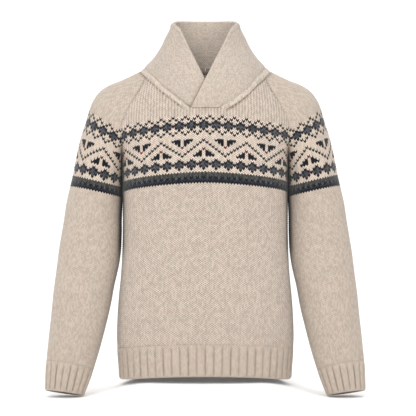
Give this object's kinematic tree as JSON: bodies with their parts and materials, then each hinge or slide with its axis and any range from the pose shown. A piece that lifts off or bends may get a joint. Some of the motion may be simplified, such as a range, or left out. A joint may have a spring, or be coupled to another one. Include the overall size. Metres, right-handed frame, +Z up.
{
  "type": "shawl-collar sweater",
  "caption": "Knitted sweater with a crossed shawl collar, raglan sleeves, ribbed hem and cuffs, filled out as if worn and open at neck, hem and cuffs.",
  "frame": {"origin": "midway between the two points where the collar meets the shoulders, where the wearer's shoulders hold it", "axes": "+Z up, the front faces -Y, the wearer's left is +X"},
  "size_m": [0.6876, 0.2304, 0.827],
  "materials": {
    "body_front_knit": "matt knitted wool, heather beige",
    "body_back_knit": "matt knitted wool, heather beige",
    "sleeve_left_knit": "matt knitted wool, heather beige",
    "sleeve_right_knit": "matt knitted wool, heather beige",
    "hem_rib_front_knit": "matt knitted wool, heather beige",
    "hem_rib_back_knit": "matt knitted wool, heather beige",
    "cuff_left_knit": "matt knitted wool, heather beige",
    "cuff_right_knit": "matt knitted wool, heather beige",
    "collar_left_knit": "matt knitted wool, heather beige",
    "collar_right_knit": "matt knitted wool, heather beige",
    "neck_trim_left_knit": "matt knitted wool, heather beige",
    "neck_trim_right_knit": "matt knitted wool, heather beige"
  },
  "bodies": {
    "root": {"body_front": "body_front_knit", "body_back": "body_back_knit", "sleeve_left": "sleeve_left_knit", "sleeve_right": "sleeve_right_knit", "hem_rib_front": "hem_rib_front_knit", "hem_rib_back": "hem_rib_back_knit", "cuff_left": "cuff_left_knit", "cuff_right": "cuff_right_knit", "collar_left": "collar_left_knit", "collar_right": "collar_right_knit", "neck_trim_left": "neck_trim_left_knit", "neck_trim_right": "neck_trim_right_knit"}
  },
  "joints": []
}
